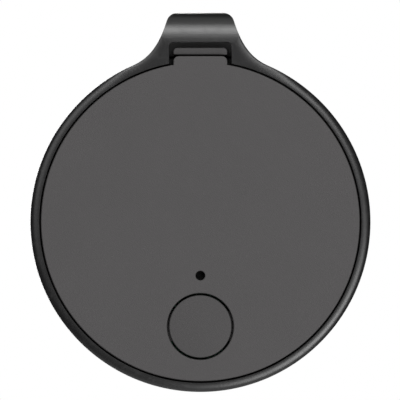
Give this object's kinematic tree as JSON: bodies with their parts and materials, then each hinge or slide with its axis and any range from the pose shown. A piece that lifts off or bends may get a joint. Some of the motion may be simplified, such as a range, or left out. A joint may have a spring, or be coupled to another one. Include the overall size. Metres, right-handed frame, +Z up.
{
  "type": "bluetooth tracker tag",
  "caption": "Round flat tracking tag with a key-ring lug, flush push button, sound hole, coin cell and a snap-in rear cover.",
  "frame": {"origin": "underside of the lug's bar, at its middle, where a key ring bears", "axes": "+Z up from the round body towards the lug, +Y from the front cover towards the rear cover, +X to the right seen from the front"},
  "size_m": [0.032, 0.008, 0.0357],
  "materials": {
    "dark_plastic": "dark moulded plastic, half gloss",
    "grey_plastic": "matte grey moulded plastic with a fine texture",
    "dark_matte_plastic": "dark matte moulded plastic with a fine texture",
    "seal_rubber": "black silicone",
    "mesh_cloth": "fine black dust mesh",
    "foam": "black closed-cell foam",
    "brass_plate": "plain brass disc",
    "white_ceramic": "fired ceramic",
    "gold_contact": "gold-plated spring bronze",
    "board": "green solder mask on glass-fibre board",
    "black_moulding": "black moulded plastic",
    "steel": "bright steel",
    "pale_plastic": "ivory plastic",
    "cell_steel": "nickel-plated steel",
    "gasket_plastic": "grey sealing plastic",
    "cell_filling": "pressed electrode powder",
    "ferrite": "grey ferrite",
    "tan_ceramic": "tan ceramic"
  },
  "bodies": {
    "housing": {"antenna": "white_ceramic", "battery_can": "cell_steel", "battery_contact_negative": "gold_contact", "battery_contact_positive": "gold_contact", "battery_electrodes": "cell_filling", "battery_gasket": "gasket_plastic", "battery_lid": "cell_steel", "battery_tray": "black_moulding", "capacitor_1": "tan_ceramic", "capacitor_2": "tan_ceramic", "capacitor_3": "tan_ceramic", "capacitor_4": "tan_ceramic", "case_screw_1": "steel", "case_screw_2": "steel", "case_screw_3": "steel", "cover_seal": "seal_rubber", "crystal_clock": "steel", "crystal_main": "steel", "front_cover": "grey_plastic", "inductor": "ferrite", "outer_frame": "dark_plastic", "pcb": "board", "piezo_ceramic": "white_ceramic", "piezo_foam_ring": "foam", "piezo_plate": "brass_plate", "piezo_spring_ceramic": "gold_contact", "piezo_spring_plate": "gold_contact", "radio_chip": "black_moulding", "resistor_1": "black_moulding", "resistor_2": "black_moulding", "resistor_3": "black_moulding", "sound_mesh": "mesh_cloth", "sounder_driver_chip": "black_moulding", "switch_base": "black_moulding", "switch_cover": "steel", "switch_dome": "steel"},
    "button": {"button_cap": "grey_plastic"},
    "plunger": {"switch_plunger": "pale_plastic"},
    "rear_door": {"rear_cover": "dark_matte_plastic", "release_ledge": "grey_plastic", "door_seal": "seal_rubber"}
  },
  "joints": [
    {"name": "button_press", "type": "slide", "parent": "housing", "child": "button", "axis": [0, 1, 0], "range_m": [0, 0.00025], "stiffness_N_per_m": 800, "springref_m": -0.0005},
    {"name": "plunger_press", "type": "slide", "parent": "housing", "child": "plunger", "axis": [0, 1, 0], "range_m": [0, 0.00025]},
    {"name": "rear_cover_open", "type": "hinge", "parent": "housing", "child": "rear_door", "pos_m": [0, 0.0062, -0.032], "axis": [-1, 0, 0], "range_deg": [0, 28]}
  ],
  "couplings": [
    {"joint": "plunger_press", "follows": "button_press", "ratio": 1}
  ]
}
